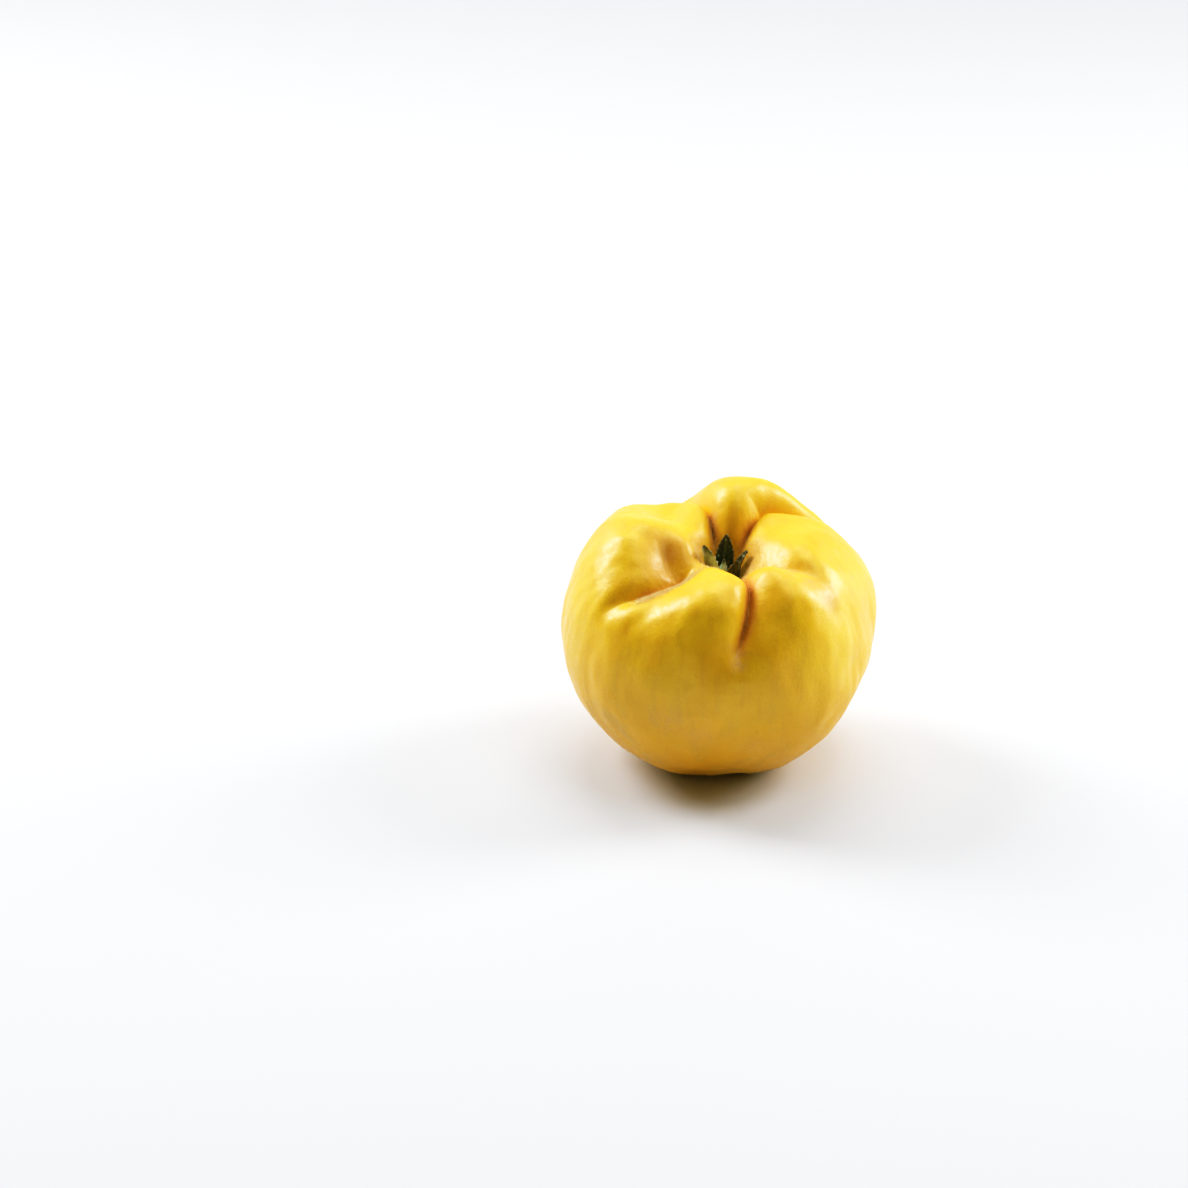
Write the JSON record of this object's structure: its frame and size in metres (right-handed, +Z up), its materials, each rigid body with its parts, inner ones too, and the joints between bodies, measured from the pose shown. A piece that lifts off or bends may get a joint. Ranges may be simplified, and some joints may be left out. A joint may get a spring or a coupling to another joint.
{
  "type": "quince fruit",
  "caption": "Whole ripe yellow quince, lobed round a deep eye with withered calyx leaves and dry stamens, with a short stub of stem in its base, standing upright as picked.",
  "frame": {"origin": "on the surface the fruit stands on, under the middle of its box", "axes": "+Z up, towards the eye and its calyx; -Y is the front, the side that the picture shows"},
  "size_m": [0.091, 0.09, 0.0779],
  "materials": {
    "quince_skin": "waxy satin fruit skin, golden yellow, russet and downy in the creases",
    "withered_sepal": "withered grey-green to black-brown leaf with a fine down",
    "dry_stamen": "dry brown plant thread",
    "stem_wood": "rough brown twig bark with a paler scar at its end"
  },
  "bodies": {
    "root": {"fruit": "quince_skin", "calyx": "withered_sepal", "stamens": "dry_stamen", "stem": "stem_wood"}
  },
  "joints": []
}
